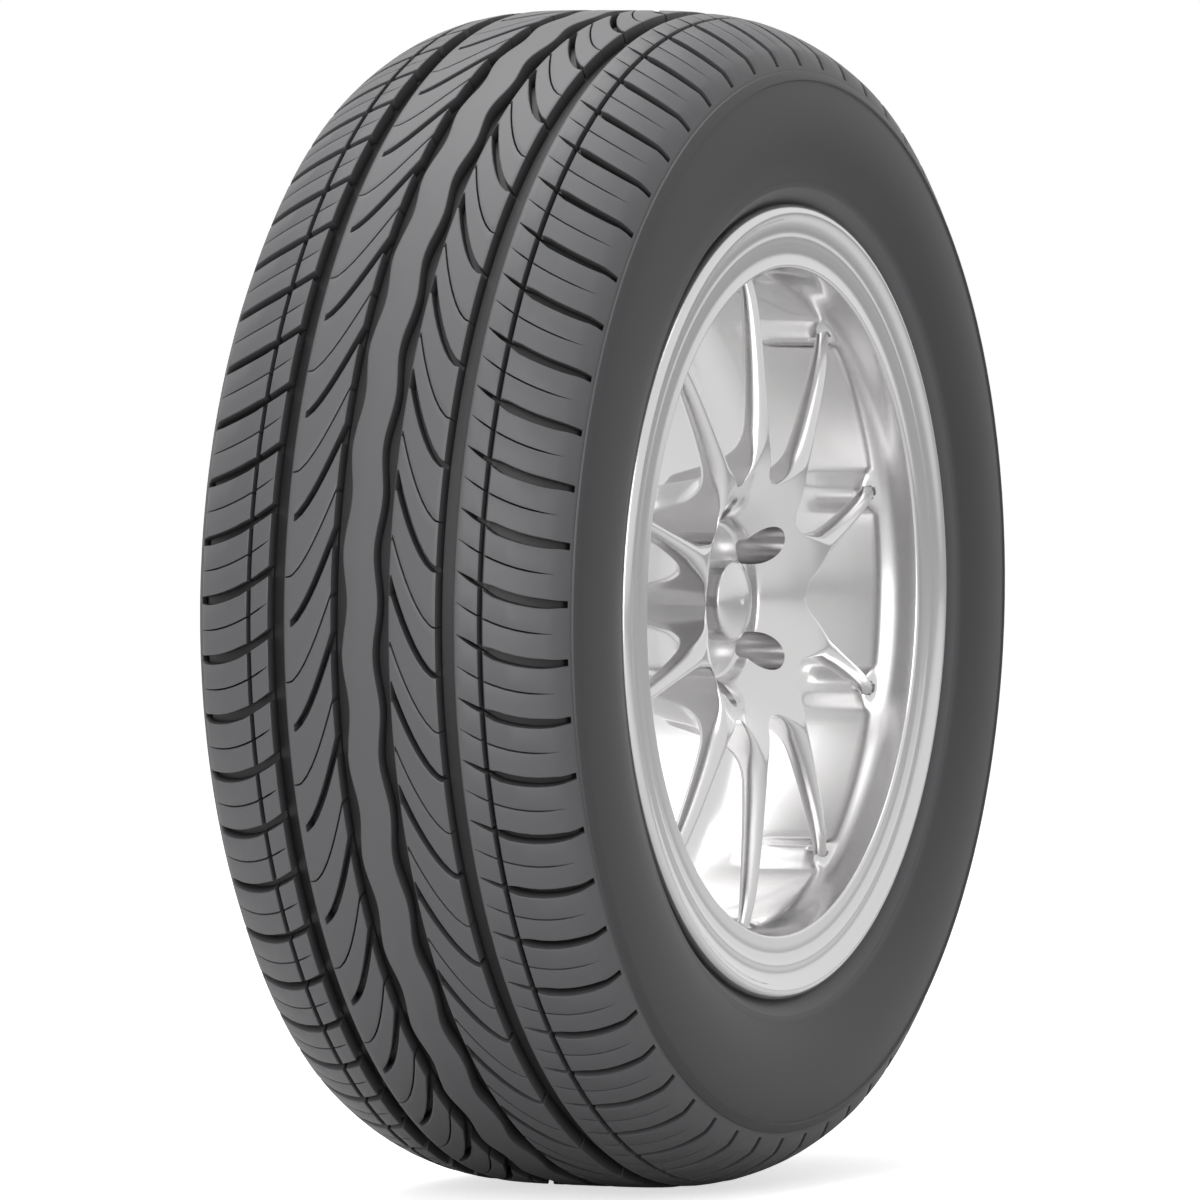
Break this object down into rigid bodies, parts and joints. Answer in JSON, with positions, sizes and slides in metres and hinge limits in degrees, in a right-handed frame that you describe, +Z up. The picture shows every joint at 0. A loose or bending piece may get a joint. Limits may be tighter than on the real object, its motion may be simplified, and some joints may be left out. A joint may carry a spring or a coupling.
{
  "type": "car tyre on an alloy wheel",
  "caption": "Road tyre with a directional grooved tread, mounted on a slim-spoked cast wheel that bolts to a car's hub and rolls.",
  "frame": {"origin": "wheel centre: on the wheel axis, in the middle plane of the tyre", "axes": "Y along the wheel axis with the outboard face towards -Y and the hub side towards +Y, +Z up, +X to the right of a viewer who looks at the outboard face"},
  "size_m": [0.654, 0.233, 0.654],
  "materials": {
    "tyre_rubber": "satin moulded rubber",
    "wheel_silver": "bright silver, clear-coated",
    "cap_silver": "bright silver, clear-coated",
    "spring_wire": "plated spring wire",
    "valve_rubber": "moulded rubber",
    "valve_brass": "turned brass",
    "cap_plastic": "black plastic"
  },
  "bodies": {
    "root": {"tyre": "tyre_rubber", "alloy_wheel": "wheel_silver", "centre_cap": "cap_silver", "cap_spring_ring": "spring_wire", "valve_body": "valve_rubber", "valve_stem": "valve_brass", "valve_core": "valve_brass", "valve_cap": "cap_plastic"}
  },
  "joints": []
}
